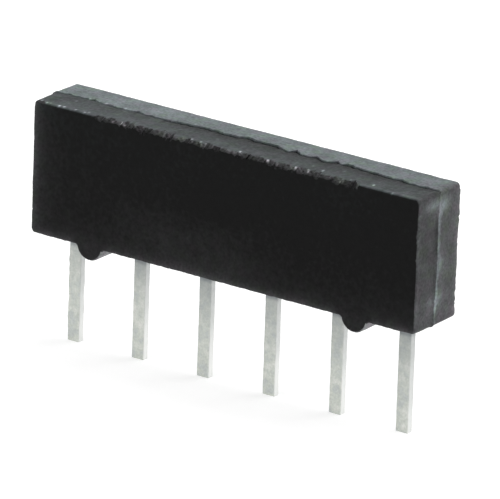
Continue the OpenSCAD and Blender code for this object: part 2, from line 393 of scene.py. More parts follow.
# Down the ends: z and the y at which the halves meet
END_LINE = ((0.4, -0.18), (1.3, -0.15), (2.2, -0.1), (3.2, -0.1), (3.8, -0.12), (4.9, -0.09))
# How much lower the top is in front of the line, the step at the ends, and how much further back the whole
# line along the top lies
TOP_STEP, END_STEP = 0.015, 0.02
LINE_BACK = 0.06
# The step at the left end, beside that at the right end
LEFT_STEP_SHARE = 0.3
# Small jags of the line, by height, gap and seed: along the top, down the ends, along the base
TOP_JAGS, TOP_FINE_JAGS = (0.022, 0.13, 3), (0.014, 0.06, 4)
END_JAGS, BASE_JAGS = (0.012, 0.12, 6), (0.02, 0.4, 8)
# The same for the height of the step, as a share of it
TOP_STEP_JAGS, END_STEP_JAGS = (0.3, 0.09, 5), (0.5, 0.2, 7)


def jags(places, height, gap, seed):
    """Heights drawn at random every `gap` along a line and joined by straight stretches, from minus to plus
    `height`."""
    knots = np.arange(places.min() - gap, places.max() + 2 * gap, gap)
    return height * np.interp(places, knots, np.random.default_rng(seed).uniform(-1, 1, len(knots)))


def read_off(table, places):
    """The values at some places from a table of (place, value), with straight stretches between its rows."""
    return np.interp(places, *np.array(table).T)


def parting_line():
    """For each point of the ring, the y at which the halves meet and the height of the step there."""
    x, z = ring.T
    places, swings, heights = np.array(RAGGED_TOP).T
    swing = LINE_BACK + np.interp(x, places, swings) + jags(x, *TOP_JAGS) + jags(x, *TOP_FINE_JAGS)
    height = np.interp(x, places, heights) * (1 + jags(x, *TOP_STEP_JAGS))
    end_swing = read_off(END_LINE, z) + jags(z, *END_JAGS)
    end_height = END_STEP * (1 + jags(z, *END_STEP_JAGS)) * np.where(x < 0, LEFT_STEP_SHARE, 1)
    base_swing = END_LINE[0][1] + jags(x, *BASE_JAGS)
    on = [side == TOP, side == BASE]
    return np.select(on, [swing, base_swing], end_swing), np.select(on, [height, 0 * x], end_height)


def print_range(what, values):
    """Prints the least and the most of some values."""
    print(what, "from", values.min().round(4), "to", values.max().round(4))


line, step = parting_line()
print_range("parting line: y in mm", line)
print_range("parting line: step in mm", step)

# %% [markdown]
# ## The block as a stack of rings
# The block is made like a sock pulled over a form. Each row is the outline ring, placed at some depth from
# the front and shrunk by some inset: rows on the front face, rows round its edge, rows back along the
# sides, rows through the parting line that follow its jags, and the same again at the back. A grid of rows
# and ring points makes one closed skin, so every edge and step is real geometry.

# %% Rows of the skin
# Radii of the edges round the front and the back, and insets of the rows on both faces
FRONT_R, BACK_R = 0.05, 0.1
FACE_INSETS = (1.2, 0.8, 0.5, 0.34, 0.25, 0.19, 0.145, 0.11, 0.08, 0.055, 0.035, 0.015)
BACK_INSETS = (0.03, 0.08, 0.16, 0.3, 0.5, 0.8, 1.2)
# How far in from its edge the rows of the front and the back still follow the edge's own radius
FRONT_EASE, BACK_EASE = 0.2, 0.3
# Rows behind the front edge, rows across the two strips beside the parting line, and rows about that line
EDGE_GAPS = (0.02, 0.04, 0.065, 0.09, 0.115, 0.145, 0.18, 0.22, 0.27, 0.33)
STRIP_PARTS = (0.2, 0.4, 0.6, 0.8)
LIP_GAPS = (-0.3, -0.22, -0.17, -0.13, -0.1, -0.075, -0.055, -0.04, -0.03, -0.012, 0, 0.015, 0.04, 0.08,
            0.13, 0.19, 0.26, 0.35)
# Radius of the edges where they are rounder: along the top's front by x, and up the ends' back by z
TOP_ROUND = ((-5.1, 0.11), (-4.7, 0.05), (4.95, 0.05), (5.25, 0.11))
END_ROUND = ((0.6, 0.16), (3.2, 0.18), (3.7, 0.1))
EDGE_TURNS = np.radians(np.linspace(0, 90, 6))
CORNER_MARGIN = 0.001
# Nicks that widen the edges, by height, gap, seed and the least peak that shows
FRONT_NICKS, BACK_NICKS, TOP_BACK_NICKS = (0.05, 0.11, 11, 0.5), (0.07, 0.17, 13, 0.4), (0.03, 0.3, 14, 0.3)
FRONT_JAGS = (0.006, 0.3, 12)


def nicks(places, height, gap, seed, least):
    """Only the peaks of a jagged line between -1 and 1 that rise past `least`, as heights up to `height`."""
    return height * np.clip((jags(places, 1, gap, seed) - least) / (1 - least), 0, 1)


def mix(first, second, part):
    """The value that lies `part` of the way from first to second."""
    return first + (second - first) * part


run = np.cumsum(np.hypot(*(ring - np.roll(ring, 1, 0)).T))
to_top = np.clip(outward[:, 1], 0, 1) ** 2
to_end = outward[:, 0] ** 2 * (np.abs(ring[:, 0]) > HALF_L - CORNER_R - CORNER_MARGIN)
front_r = mix(FRONT_R, read_off(TOP_ROUND, ring[:, 0]), to_top)
front_r += to_end * (nicks(run, *FRONT_NICKS) + jags(run, *FRONT_JAGS))
back_r = mix(BACK_R, read_off(END_ROUND, ring[:, 1]), to_end)
back_r += to_end * nicks(run, *BACK_NICKS) + to_top * nicks(run, *TOP_BACK_NICKS)
front_edge, back_edge = -HALF_T + front_r, HALF_T - back_r
last_gap = front_edge + EDGE_GAPS[-1]
level = np.zeros(len(ring))
rows = (
    [(level - HALF_T, mix(front_r, FRONT_R, min(1, inset / FRONT_EASE)) + inset) for inset in FACE_INSETS]
    + [(-HALF_T + front_r * (1 - np.cos(t)), front_r * (1 - np.sin(t))) for t in EDGE_TURNS]
    + [(front_edge + gap, level) for gap in EDGE_GAPS]
    + [(mix(last_gap, line + LIP_GAPS[0], part), level) for part in STRIP_PARTS]
    + [(line + gap, level) for gap in LIP_GAPS]
    + [(mix(line + LIP_GAPS[-1], back_edge, part), level) for part in STRIP_PARTS]
    + [(HALF_T - back_r * (1 - np.cos(t)), back_r * (1 - np.sin(t))) for t in EDGE_TURNS[::-1]]
    + [(level + HALF_T, mix(back_r, BACK_R, min(1, inset / BACK_EASE)) + inset) for inset in BACK_INSETS]
)
depth = np.array([row[0] for row in rows])
inset = np.array([row[1] for row in rows])
row_number = np.arange(len(rows))
on_face = (row_number < len(FACE_INSETS)) | (row_number >= len(rows) - len(BACK_INSETS))
print("skin:", len(rows), "rows of", len(ring), "points")

# %% [markdown]
# ## Draft and the step at the joint
# The end walls of a mould lean a little, so that the part slides out, and here the front half came out lower
# than the back half. Both are plain shifts of the rows: the ends move in with their distance from the middle,
# and what lies in front of the parting line sinks by the step, most of all in a groove at its foot.

# %% Skin without wear
# Smaller than any real size, for comparing places
HAIR = 1e-6
SHRINK_REACH = 2.0
# The lean of the end walls, and how far in from an end it reaches
DRAFT = np.tan(np.radians(1.7))
DRAFT_REACH = 0.3
# Widths of the step's wall and of the groove at its foot
RISER_W, GROOVE_W = 0.03, 0.12
# How much deeper than the step the groove at its foot is, by x
GROOVE_GAINS = ((-7.4, 0.0), (-3.4, 0.15), (-2.2, 0.6), (7.4, 0.6))


def bell(distance):
    """1 at no distance, and falling off to both sides as exp(-distance squared)."""
    return np.exp(-(distance**2))


def shrink_way(points):
    """The way a point moves as the outline shrinks: in from an end or from the top or base, and both at a
    corner. It fades out over a reach from each side, so that corners keep their form."""
    x = points[:, 0]
    z = points[:, 1] - (TOP_Z + BASE_Z) / 2
    half = np.array([HALF_L, (TOP_Z - BASE_Z) / 2])
    away = np.stack([x, z], -1)
    return np.sign(away) * np.clip((np.abs(away) - half) / SHRINK_REACH + 1, 0, 1)


def plain_skin():
    """The ring at every row: shrunk by the row's inset, drawn in at the ends by the mould's draft, and
    lowered in front of the parting line by the step, most of all in a groove at the step's foot."""
    rib = ring[:, 1] < BASE_Z - HAIR
    flat = np.stack([ring[:, 0], np.maximum(ring[:, 1], BASE_Z)], -1)
    start = np.where(on_face[:, None, None], flat, ring)
    side_way = np.where(rib[:, None], outward, shrink_way(ring))
    way = np.where(on_face[:, None, None], shrink_way(flat), side_way)
    before = np.clip((line - depth) / RISER_W, 0, 1)
    near_line = bell(np.clip(line - depth, 0, None) / GROOVE_W)
    groove = step * (1 + read_off(GROOVE_GAINS, ring[:, 0]) * to_top)
    drop = before * mix(mix(step * to_end, TOP_STEP, to_top), groove, near_line)
    xz = start - inset[..., None] * way - drop[..., None] * outward
    inward = np.clip((np.abs(ring[:, 0]) - HALF_L + DRAFT_REACH) / DRAFT_REACH, 0, 1) * np.sign(ring[:, 0])
    x = xz[..., 0] - inward * DRAFT * np.abs(depth)
    return np.stack([x, depth, xz[..., 1]], -1)


skin = plain_skin()
print("skin box in mm:", skin.min((0, 1)).round(3), skin.max((0, 1)).round(3))

# %% [markdown]
# ## The chipped front edge
# Brittle resin crumbles along a sharp edge, and the front edge of the top has lost small chips for most of
# its length. A chip is a slanted facet that replaces the corner: it bites some way back along the top and
# some way down the front. Points inside the bite are laid on the facet in order, so no face folds over, and
# the facet is hollowed and roughened a little, as such resin breaks.

# %% Where the chips are
CHIPPED_FROM, CHIPPED_TO = -5.0, 4.9
CHIP_COUNT, CHIP_SEED = 110, 21
# Least and most of a small chip's half width, its bite back along the top, and its bite down beside that
CHIP_HALVES, CHIP_BITES, CHIP_SLOPES = (0.04, 0.2), (0.06, 0.24), (0.4, 0.85)
# How steeply a bite deepens from its sides, until it is full
CHIP_BLUNTNESS = 1.7
DEEPEST = 0.2
# The few large chips: x, half width, bite back along the top, bite down the front, and shade
LARGE_CHIPS = (
    (-7.25, 0.35, 0.16, 0.05, 0.8), (-4.45, 0.22, 0.2, 0.06, 0.8), (-2.6, 0.3, 0.27, 0.1, 0.95),
    (1.2, 0.25, 0.22, 0.12, 1.1), (2.35, 0.2, 0.24, 0.12, 1.4), (2.95, 0.2, 0.26, 0.13, 1.25),
    (4.25, 0.16, 0.22, 0.15, 1.1), (4.6, 0.18, 0.22, 0.19, 0.5), (4.82, 0.17, 0.27, 0.2, 0.4),
    (5.0, 0.06, 0.12, 0.2, 1.7),
)
# Jags of the bites back and down, as shares of them, by height, gap and seed
BACK_BITE_JAGS, DOWN_BITE_JAGS = (0.35, 0.07, 22), (0.4, 0.08, 26)
# The crumbled edge between the chips: its bites back and down, their jags, and its fading at both ends
CRUMB_BACK, CRUMB_DOWN = 0.1, 0.08
CRUMB_BACK_JAGS, CRUMB_FINE_JAGS, CRUMB_DOWN_JAGS = (0.05, 0.15, 27), (0.03, 0.06, 28), (0.04, 0.12, 29)
CRUMB_OUT, CRUMB_IN = 0.2, 0.3
# Tiny nicks along the rest of the edge
BACK_TINY_NICKS, DOWN_TINY_NICKS = (0.03, 0.08, 23, 0.3), (0.03, 0.08, 24, 0.3)
LEAST_BITE = 1e-4


def fade(value, start, end):
    """0 before start, 1 after end, and a smooth rise between them."""
    t = np.clip((value - start) / (end - start), 0, 1)
    return t * t * (3 - 2 * t)


def chip_bites(x):
    """The bite back and the bite down at each x: those of the deepest chip there, each a blunt wedge, and
    between the chips a crumbled edge that wanders. Also the number of that chip."""
    rng = np.random.default_rng(CHIP_SEED)
    middle = rng.uniform(CHIPPED_FROM, CHIPPED_TO, CHIP_COUNT)
    half = rng.uniform(*CHIP_HALVES, CHIP_COUNT)
    back_bite = rng.uniform(*CHIP_BITES, CHIP_COUNT)
    down_bite = back_bite * rng.uniform(*CHIP_SLOPES, CHIP_COUNT)
    small = np.stack([middle, half, back_bite, down_bite])
    middle, half, back_bite, down_bite = np.append(small, np.array(LARGE_CHIPS).T[:4], 1)
    share = np.minimum(1, CHIP_BLUNTNESS * np.clip(1 - np.abs(x[:, None] - middle) / half, 0, 1))
    deepest = (share * back_bite).argmax(1)
    at = np.arange(len(x))
    begun = fade(x, CHIPPED_FROM - CRUMB_OUT, CHIPPED_FROM + CRUMB_IN)
    ended = fade(x, CHIPPED_TO - CRUMB_IN, CHIPPED_TO + CRUMB_OUT)
    crumbled = begun * (1 - ended)
    back_least = crumbled * (CRUMB_BACK + jags(x, *CRUMB_BACK_JAGS) + jags(x, *CRUMB_FINE_JAGS))
    down_least = crumbled * (CRUMB_DOWN + jags(x, *CRUMB_DOWN_JAGS))
    back_bite = np.maximum((share * back_bite)[at, deepest] * (1 + jags(x, *BACK_BITE_JAGS)), back_least)
    down_bite = np.maximum((share * down_bite)[at, deepest] * (1 + jags(x, *DOWN_BITE_JAGS)), down_least)
    back_bite = np.maximum(back_bite, nicks(x, *BACK_TINY_NICKS)) + LEAST_BITE
    down_bite = np.maximum(np.minimum(down_bite, DEEPEST), nicks(x, *DOWN_TINY_NICKS)) + LEAST_BITE
    return back_bite, down_bite, deepest


bite_back, bite_down, chip = chip_bites(ring[:, 0])
print("bites: up to", bite_back.max().round(3), "mm back and", bite_down.max().round(3), "mm down")

# %% Chips laid on the edge
HOLLOW, HOLLOW_JAGS = 0.3, (0.6, 0.07, 25)


def chip_edge(skin):
    """Lays each point within a bite onto the chip's facet. A place is measured by how far it is behind the
    front and below the top, and its share of the way round the corner becomes its share of the facet."""
    behind = skin[..., 1] + HALF_T
    below = TOP_Z - TOP_STEP - skin[..., 2]
    inside = (side == TOP) & (behind < bite_back) & (below < bite_down)
    part = np.clip((bite_down - below + behind) / (bite_back + bite_down), 0, 1)
    hollow = HOLLOW * part * (1 - part) * (1 + jags(ring[:, 0], *HOLLOW_JAGS))
    facet_y = bite_back * (part + hollow) - HALF_T
    facet_z = TOP_Z - TOP_STEP - bite_down * (1 - part + hollow)
    laid = skin.copy()
    laid[..., 1] = np.where(inside, facet_y, skin[..., 1])
    laid[..., 2] = np.where(inside, facet_z, skin[..., 2])
    return laid, np.where(inside, part, np.nan)


skin, facet_part = chip_edge(skin)
chipped = np.isfinite(facet_part)
print("chips: on", chipped.any(0).sum(), "of", (side == TOP).sum(), "points along the top")

# %% [markdown]
# ## Flash and small unevenness
# Resin creeps into the joint of the tool and leaves nubs of flash, and no moulded edge is a ruled line. A
# picture of bumps can't change an outline, so the rows along the sides are really pushed in and out: by waves
# of a few microns, by jags and nicks along the worn edges, and by a smooth bump for each nub.

# %% Flash and small unevenness
# How much quicker or slower than asked a wave may be
RIPPLE_PACES = (0.7, 1.4)
# Waves over the sides, by height, length and seed
LONG_RIPPLES, SHORT_RIPPLES = (0.005, 0.9, 31), (0.0025, 0.2, 32)
# Jags and nicks of the base's front edge and the ends' back edges, and how far in from the edge they reach
BASE_WEAR_JAGS, BASE_WEAR_NICKS = (0.01, 0.16, 15), (0.025, 0.1, 17, 0.7)
END_WEAR_JAGS, END_WEAR_NICKS = (0.018, 0.13, 16), (0.07, 0.14, 18, 0.35)
EDGE_WEAR = 0.22
# Nubs of flash left where the joint crosses a corner: x, z and height
NUBS = ((-HALF_L, TOP_Z, 0.032), (HALF_L, BASE_Z, 0.035))
NUB_R, NUB_LENGTH, NUB_FORWARD = 0.16, 0.07, 0.01
# The inset at which unevenness has faded out in front, and the share of the edge's radius for that behind
FRONT_FADE, BACK_FADE = 0.05, 0.6


def ripples(u, v, height, length, seed, count=14):
    """Waves of about one length in random directions over the (u, v) plane, added up to about `height`."""
    rng = np.random.default_rng(seed)
    turn, start = rng.uniform(0, 2 * np.pi, (2, count))
    pace = 2 * np.pi / length * rng.uniform(*RIPPLE_PACES, count)
    waves = [np.cos(k * (u * np.cos(t) + v * np.sin(t)) + s) for k, t, s in zip(pace, turn, start)]
    return height * (np.sum(waves, 0) / np.sqrt(2 * count))


def uneven(skin):
    """A few microns in and out along the sides, so that edges aren't ruled lines and gloss isn't a mirror,
    small nicks in the base's front edge and the ends' back edges, and a smooth bump for each nub."""
    shift = ripples(run, depth, *LONG_RIPPLES) + ripples(run, depth, *SHORT_RIPPLES)
    on_base = (side == BASE) & (np.abs(ring[:, 1] - BASE_Z) < HAIR)
    base_wear = on_base * (jags(run, *BASE_WEAR_JAGS) - nicks(run, *BASE_WEAR_NICKS))
    end_wear = to_end * (jags(run, *END_WEAR_JAGS) - nicks(run, *END_WEAR_NICKS))
    shift += base_wear * bell((depth + HALF_T) / EDGE_WEAR)
    shift += end_wear * bell((HALF_T - depth) / EDGE_WEAR)
    for x, z, height in NUBS:
        reach = np.hypot(ring[:, 0] - x, ring[:, 1] - z) / NUB_R
        shift += height * bell(reach) * bell((depth - line + NUB_FORWARD) / NUB_LENGTH)
    fading = np.where(depth > 0, BACK_FADE * back_r, FRONT_FADE)
    shift = np.where(on_face[:, None], 0, shift * np.clip(1 - inset / fading, 0, 1))
    skin[..., 0] += shift * outward[:, 0]
    skin[..., 2] += shift * outward[:, 1]
    return skin


skin = uneven(skin)
print("uneven skin: box in mm", skin.min((0, 1)).round(3), skin.max((0, 1)).round(3))

# %% [markdown]
# ## How grey each place is
# The broad faces left polished cavity walls and are almost black. The narrow sides are grey: partly a duller
# finish from the tool and from handling, and partly a painted reflection of the white studio, which they face
# at a slant. Each vertex carries two numbers for that: the grey of the resin, and how much pale dust lies on
# it. Noise alone couldn't follow the worn places and the painted light and shade, so they are worked out from
# where a point lies. On the top, the foot of the parting step carries painted shade, chips are darker than
# the worn strip behind them, and painted glints are pale.

# %% Greys of the top
# The top's greys are partly a painted reflection of the white studio
TOP_FRONT_GREY, TOP_EDGE_GREY = 0.055, 0.07
# How far in front of the middle the front strip starts to grow paler, as the painted shade of the step fades,
# and where it has done so
STRIP_FROM, STRIP_TO = 0.2, 0.9
# By x: gain of the front strip, grey of its rim, a painted highlight on the worn edge, grey behind the line,
# and painted shade at the step's foot
FRONT_GAIN = ((-7.4, 1.1), (-5.0, 1.12), (-3.0, 1.2), (-1.5, 1.0), (0.5, 0.95), (7.4, 1.0))
RIM_HIGHLIGHT_GREY = ((-7.4, 0.12), (-5.0, 0.12), (-3.6, 0.09), (4.6, 0.09), (5.4, 0.115), (7.4, 0.115))
TOP_BACK_GREY = ((-7.4, 0.2), (-3.0, 0.2), (0.0, 0.187), (7.4, 0.172))
STEP_SHADES = ((-7.4, 0.15), (-5.0, 0.3), (-3.4, 0.45), (-2.2, 0.9), (0.0, 1.0), (5.0, 1.0), (7.4, 0.8))
# Painted shade at the step's foot: its grey, the reach over which it stays full, and how fast it fades
STEP_SHADE_GREY, STEP_SHADE_FLAT, STEP_SHADE_W = 0.004, 0.17, 0.28
# The height of a step whose foot is in full painted shade
DARK_STEP = 0.055
DASHED_TO, WHOLE_FROM = -3.6, -2.4
# The rim's distance from the front, inner and outer, how much of it shows, and the reach of the lip's jags
RIM_INNER, RIM_OUTER, RIM_SHARE, LIP_W = 0.3, 0.15, 0.5, 0.05
# Jags of the dashes, of the rim and of the lip behind the line, by height, gap and seed
DASH_JAGS, RIM_JAGS, LIP_JAGS = (1.1, 0.15, 48), (0.5, 0.09, 45), (0.2, 0.12, 46)


def step_shade_share():
    """How deep in shade a place is: most at the foot of the step, fading forward from it, more if it is high,
    and broken into dashes at the left."""
    x = ring[:, 0]
    ahead = np.clip(line - depth - RISER_W - STEP_SHADE_FLAT, 0, None)
    strength = np.clip(step / DARK_STEP, 0, 1) * read_off(STEP_SHADES, x)
    dashes = mix(1 + jags(x, *DASH_JAGS), 1, fade(x, DASHED_TO, WHOLE_FROM))
    return np.clip(np.exp(-ahead / STEP_SHADE_W) * strength * dashes, 0, 1)


def top_grey():
    """Paler behind the parting line; in front of it painted shade at the foot of the step that fades towards
    the edge, and a painted highlight along the worn rim.
    """
    x = ring[:, 0]
    front = mix(TOP_FRONT_GREY, TOP_EDGE_GREY, fade(-depth, STRIP_FROM, STRIP_TO)) * read_off(FRONT_GAIN, x)
    # The rim along the worn front edge is a painted highlight
    edge_highlight = fade(-depth, HALF_T - RIM_INNER, HALF_T - RIM_OUTER) * (RIM_SHARE + jags(x, *RIM_JAGS))
    front = mix(front, read_off(RIM_HIGHLIGHT_GREY, x), edge_highlight)
    front = mix(front, STEP_SHADE_GREY, step_shade_share())
    lip = np.exp(-np.clip(depth - line, 0, None) / LIP_W) * jags(x, *LIP_JAGS)
    behind = read_off(TOP_BACK_GREY, x) * (1 + lip)
    return mix(front, behind, np.clip((depth - line) / RISER_W + 1, 0, 1))


top_greys = top_grey()
print_range("top: greys", top_greys[:, side == TOP])

# %% Greys of chips and flecks
CHIP_LOW_GREY, CHIP_HIGH_GREY = 0.012, 0.068
# Least and most shade of a small chip, and the jags and waves of the greys on a chip
CHIP_SHADES, CHIP_SHADE_SEED, LEAST_SHADE = (0.3, 1.75), 43, 0.2
STREAK_JAGS, WIDE_STREAK_JAGS, CHIP_RIPPLES = (0.2, 0.08, 44), (0.3, 0.2, 47), (0.5, 0.13, 49)
# Painted glints: their grey, and the least share that counts as one
GLINT_GREY, GLINT_SEEN = 0.65, 0.1
GLINT_R, GLINT_LENGTH, GLINT_SINK = 0.035, 0.045, 0.1
# Painted glints on the top, small pale dots of caught light: x, y, and strength
GLINTS = ((-6.95, -1.03, 0.5), (-6.83, -1.0, 0.3), (-6.46, -1.03, 1), (-6.29, -1.01, 0.8), (-5.85, -1.0, 0.7),
          (-5.47, -1.03, 0.5), (-5.37, -0.95, 0.4), (-4.37, -1.05, 0.4), (-4.03, -1.06, 1), (-3.92, -1.04, 1),
          (-1.38, -0.95, 0.7), (-1.02, -0.97, 0.6), (0.45, -0.93, 0.9), (1.57, -1.02, 1), (1.94, -1.02, 0.5),
          (2.4, -0.7, 0.3), (2.62, -1.02, 0.9), (3.05, -0.95, 0.5), (3.47, -0.78, 0.7), (4.32, -1.05, 0.8),
          (5.44, -0.85, 0.7), (6.29, -1.06, 0.4), (-6.34, -0.26, 0.4), (-6.1, 0.12, 0.5), (-5.45, 0.1, 0.6),
          (-4.7, 0.1, 0.5), (-4.3, 0.42, 0.4), (-3.58, 0.21, 0.4), (-2.13, 0.27, 0.4), (-2.73, 0.97, 0.5),
          (-7.2, -0.95, 0.5), (3.1, -1.03, 0.6), (2.97, -0.54, 0.2), (4.0, -0.4, 0.2), (4.62, -0.9, 0.3))


def chip_grey():
    """Darker down the facet, with streaks and blotches, and different from chip to chip."""
    x = ring[:, 0]
    streak = 1 + jags(x, *STREAK_JAGS) + jags(x, *WIDE_STREAK_JAGS)
    blotch = ripples(skin[..., 0], skin[..., 1] + skin[..., 2], *CHIP_RIPPLES)
    shades = np.random.default_rng(CHIP_SHADE_SEED).uniform(*CHIP_SHADES, CHIP_COUNT)
    facet = np.append(shades, np.array(LARGE_CHIPS)[:, 4])[chip]
    broken = mix(CHIP_LOW_GREY, CHIP_HIGH_GREY, np.nan_to_num(facet_part))
    return broken * np.clip(streak + blotch, LEAST_SHADE, None) * facet


def glint_share():
    """The strongest of the painted glints at each place, each a soft dot."""
    share = np.zeros_like(depth)
    below = np.clip(TOP_Z - TOP_STEP - skin[..., 2], 0, None)
    for x, y, strength in GLINTS:
        far = ((skin[..., 0] - x) / GLINT_R) ** 2 + ((skin[..., 1] - y) / GLINT_LENGTH) ** 2
        share = np.maximum(share, strength * np.exp(-far - (below / GLINT_SINK) ** 2))
    return share * (side == TOP) * ~on_face[:, None]


chip_greys, glints = chip_grey(), glint_share()
print_range("chips: greys", chip_greys[chipped])
print("flecks:", len(GLINTS), "over", (glints > GLINT_SEEN).sum(), "points")

# %% [markdown]
# ## Greys of the ends and of the front
# The ends are grey, partly worn and partly a painted reflection, with a smear of pale dust behind the parting
# line, a painted shadow of the step in front of it, and a painted highlight along their front edge. The front
# is rubbed paler towards its left edge, has painted light along its lower edge that gives way to painted
# shade above the standoffs, and a faint paler patch low on it. Each of these is a smooth function of the
# place on its side.

# %% Greys of the ends
# Greys of the ends behind the line, of the painted shadow that the step casts in front of it, and of the
# smear
END_BACK_GREY, STEP_SHADOW_GREY, SMEAR_GREY = 0.098, 0.03, 0.35
# Grey of the ends in front of the parting line, by z
END_FRONT_GREY = ((1.0, 0.086), (2.0, 0.072), (3.2, 0.064), (4.2, 0.075))
# The ends' paler rims: gain and inner and outer distance at the back, and gain and width at the front, where
# the rim is a painted highlight
BACK_RIM_GAIN, BACK_RIM_INNER, BACK_RIM_OUTER = 0.45, 0.4, 0.05
FRONT_HIGHLIGHT_GAIN, FRONT_HIGHLIGHT_W = 0.3, 0.13
# The painted shadow of the step: the stretches of z where it begins and ends, its reach in front of the line,
# its strength
SHADOW_BEGINS, SHADOW_ENDS, SHADOW_REACH, SHADOW_SHARE = (1.5, 2.0), (3.9, 4.15), (-0.28, -0.05), 0.65
# The smear on an end: z, its width behind the parting line, its strength
SMEAR = (
    (0.45, 0.1, 0.25), (0.85, 0.1, 0.3), (1.0, 0.14, 0.75), (1.3, 0.18, 1), (1.55, 0.16, 1), (1.7, 0.12, 0.6),
    (1.9, 0.1, 0.35), (2.1, 0.14, 0.5), (2.3, 0.3, 0.5), (2.65, 0.32, 0.5), (2.9, 0.16, 0.45),
    (3.4, 0.13, 0.42), (3.7, 0.16, 0.5), (4.0, 0.2, 0.5), (4.2, 0.38, 0.5), (4.45, 0.46, 0.5),
    (4.62, 0.35, 0.25), (4.75, 0.2, 0),
)
# Where the smear begins beside the line, the share of its width that is full, and the jags of both numbers
SMEAR_BEGINS, SMEAR_FULL = (-0.03, 0.01), 0.35
SMEAR_WIDTH_JAGS, SMEAR_JAGS = (0.25, 0.12, 41), (0.2, 0.1, 42)
# Dust patches on the right end: y, z, half width, half height, strength
PATCHES = ((-0.35, 4.48, 0.38, 0.17, 0.5), (0.14, 4.4, 0.24, 0.22, 0.65), (0.05, 2.5, 0.18, 0.3, 0.5),
           (0.03, 1.32, 0.22, 0.22, 0.5), (-0.38, 1.3, 0.16, 0.17, 0.35), (-0.5, 0.95, 0.3, 0.3, 0.08))
# Pale nicks on the right end: y, z, and strength
END_FLECKS = ((-0.65, 4.74, 0.35), (-1.1, 4.3, 0.25), (-1.12, 3.5, 0.2), (-1.12, 2.6, 0.15), (1.0, 3.9, 0.4))
END_FLECK_R = 0.045
on_end = (side == LEFT) | (side == RIGHT)


def smear_share():
    """Pale dust behind the parting line on the ends, and the patches on the right one."""
    z = ring[:, 1]
    places, widths, strengths = np.array(SMEAR).T
    width = np.interp(z, places, widths) * (1 + jags(z, *SMEAR_WIDTH_JAGS))
    strength = np.interp(z, places, strengths) * (1 + jags(z, *SMEAR_JAGS))
    past = depth - line
    share = strength * fade(past, *SMEAR_BEGINS) * (1 - fade(past, SMEAR_FULL * width, width))
    for y, height, half_y, half_z, amount in PATCHES:
        far = ((depth - y) / half_y) ** 2 + ((z - height) / half_z) ** 2
        share = np.maximum(share, (side == RIGHT) * amount * np.exp(-far))
    for y, height, amount in END_FLECKS:
        far = np.hypot(depth - y, z - height) / END_FLECK_R
        share = np.maximum(share, (side == RIGHT) * amount * bell(far))
    return np.clip(share, 0, 1) * on_end


def end_grey(smear):
    """Grey, a little paler lower down and behind the parting line, with a painted shadow of the step in front
    of the line and a painted highlight along the front edge.
    """
    z = ring[:, 1]
    past = depth - line
    grey = np.where(past > 0, END_BACK_GREY, read_off(END_FRONT_GREY, z))
    grey = grey * (1 + BACK_RIM_GAIN * fade(depth, HALF_T - BACK_RIM_INNER, HALF_T - BACK_RIM_OUTER))
    # A paler strip along the front edge, a painted highlight
    grey = grey * (1 + FRONT_HIGHLIGHT_GAIN * bell((depth + HALF_T) / FRONT_HIGHLIGHT_W))
    step_shadow = fade(z, *SHADOW_BEGINS) * (1 - fade(z, *SHADOW_ENDS)) * fade(past, *SHADOW_REACH) * (past < 0)
    return mix(mix(grey, STEP_SHADOW_GREY, SHADOW_SHARE * step_shadow), SMEAR_GREY, smear)


smear = smear_share()
end_greys = end_grey(smear)
print_range("ends: greys", end_greys[:, on_end])

# %% Greys of the front
FACE_GREY = 0.002
# The paler rim: rubbed at the very edge and over a wider strip at the left, painted light over a wider strip
# below, and weaker painted light above a standoff, which shades it
WORN_GREY, WORN_W = 0.06, 0.11
RUBBED_LEFT, BASE_GLOW, EDGE_PALING_W = 0.03, 0.012, 0.45
RIB_SHADED_GLOW, RIB_REACH = 0.015, 0.35
# A paler patch low on the front face: x, z, half width, half height, grey
PALE_PATCH = (-1.3, 1.3, 2.7, 1.1, 0.0095)


def face_grey():
    """Almost black, rubbed paler towards the left edge of the front, with painted light along its lower edge
    and a paler patch low on it. Above a standoff that painted light is weaker, as painted shade of the
    standoff."""
    x, z, half_x, half_z, patch_level = PALE_PATCH
    far = ((skin[..., 0] - x) / half_x) ** 2 + ((skin[..., 2] - z) / half_z) ** 2
    from_left = np.clip(skin[..., 0] + HALF_L, 0, None)
    from_base = np.clip(skin[..., 2] - BASE_Z, 0, None)
    left_rub, base_glow = (np.exp(-far_off / EDGE_PALING_W) for far_off in (from_left, from_base))
    rubbed_and_lit = np.maximum(RUBBED_LEFT * left_rub, BASE_GLOW * base_glow)
    rubbed_and_lit += WORN_GREY * np.exp(-np.minimum(from_left, from_base) / WORN_W)
    from_rib = np.abs(ring[:, :1] - STANDOFF_MIDDLES).min(1) - STANDOFF_W / 2
    # Painted shade of the standoff over the painted light below
    rib_shade = (side == BASE) * (1 - fade(from_rib, 0, RIB_REACH))
    rubbed_and_lit = mix(rubbed_and_lit, RIB_SHADED_GLOW * base_glow, rib_shade)
    return FACE_GREY + (depth < 0) * (rubbed_and_lit + patch_level * bell(far))


face_greys = face_grey()
print_range("broad faces: greys", face_greys[on_face])

# %% [markdown]
# ## The greys joined
# Where two sides meet, the eye sees a worn edge rather than a seam. So each side's grey is blended into the
# next over the round edge between them, the corners of the top get painted shade of their own, and chips and
# painted glints are laid over the rest. Dust lies on the top and on the ends, and not where resin broke away.

# %% Greys joined
# Greys of the base, of the standoffs' flanks, which begin a little below it and are a painted reflection of
# the white floor, and the painted shade of the top's corners
BASE_GREY, FLANK_REFLECTION_GREY, FLANK_DROP = 0.05, 0.4, 0.05
CORNER_SHADE_GREY, CORNER_BACK_SHADE_GREY, CORNER_BLEND = 0.07, 0.1, (-0.02, 0.06)
# How much of a top corner's painted shade shows, by how far up the surface faces; below 0, the grey moves
# away from it
CORNER_SHADING = ((0, 0), (0.08, -0.25), (0.3, 0.5), (0.6, 0.9), (0.9, 0.7), (1, 0))
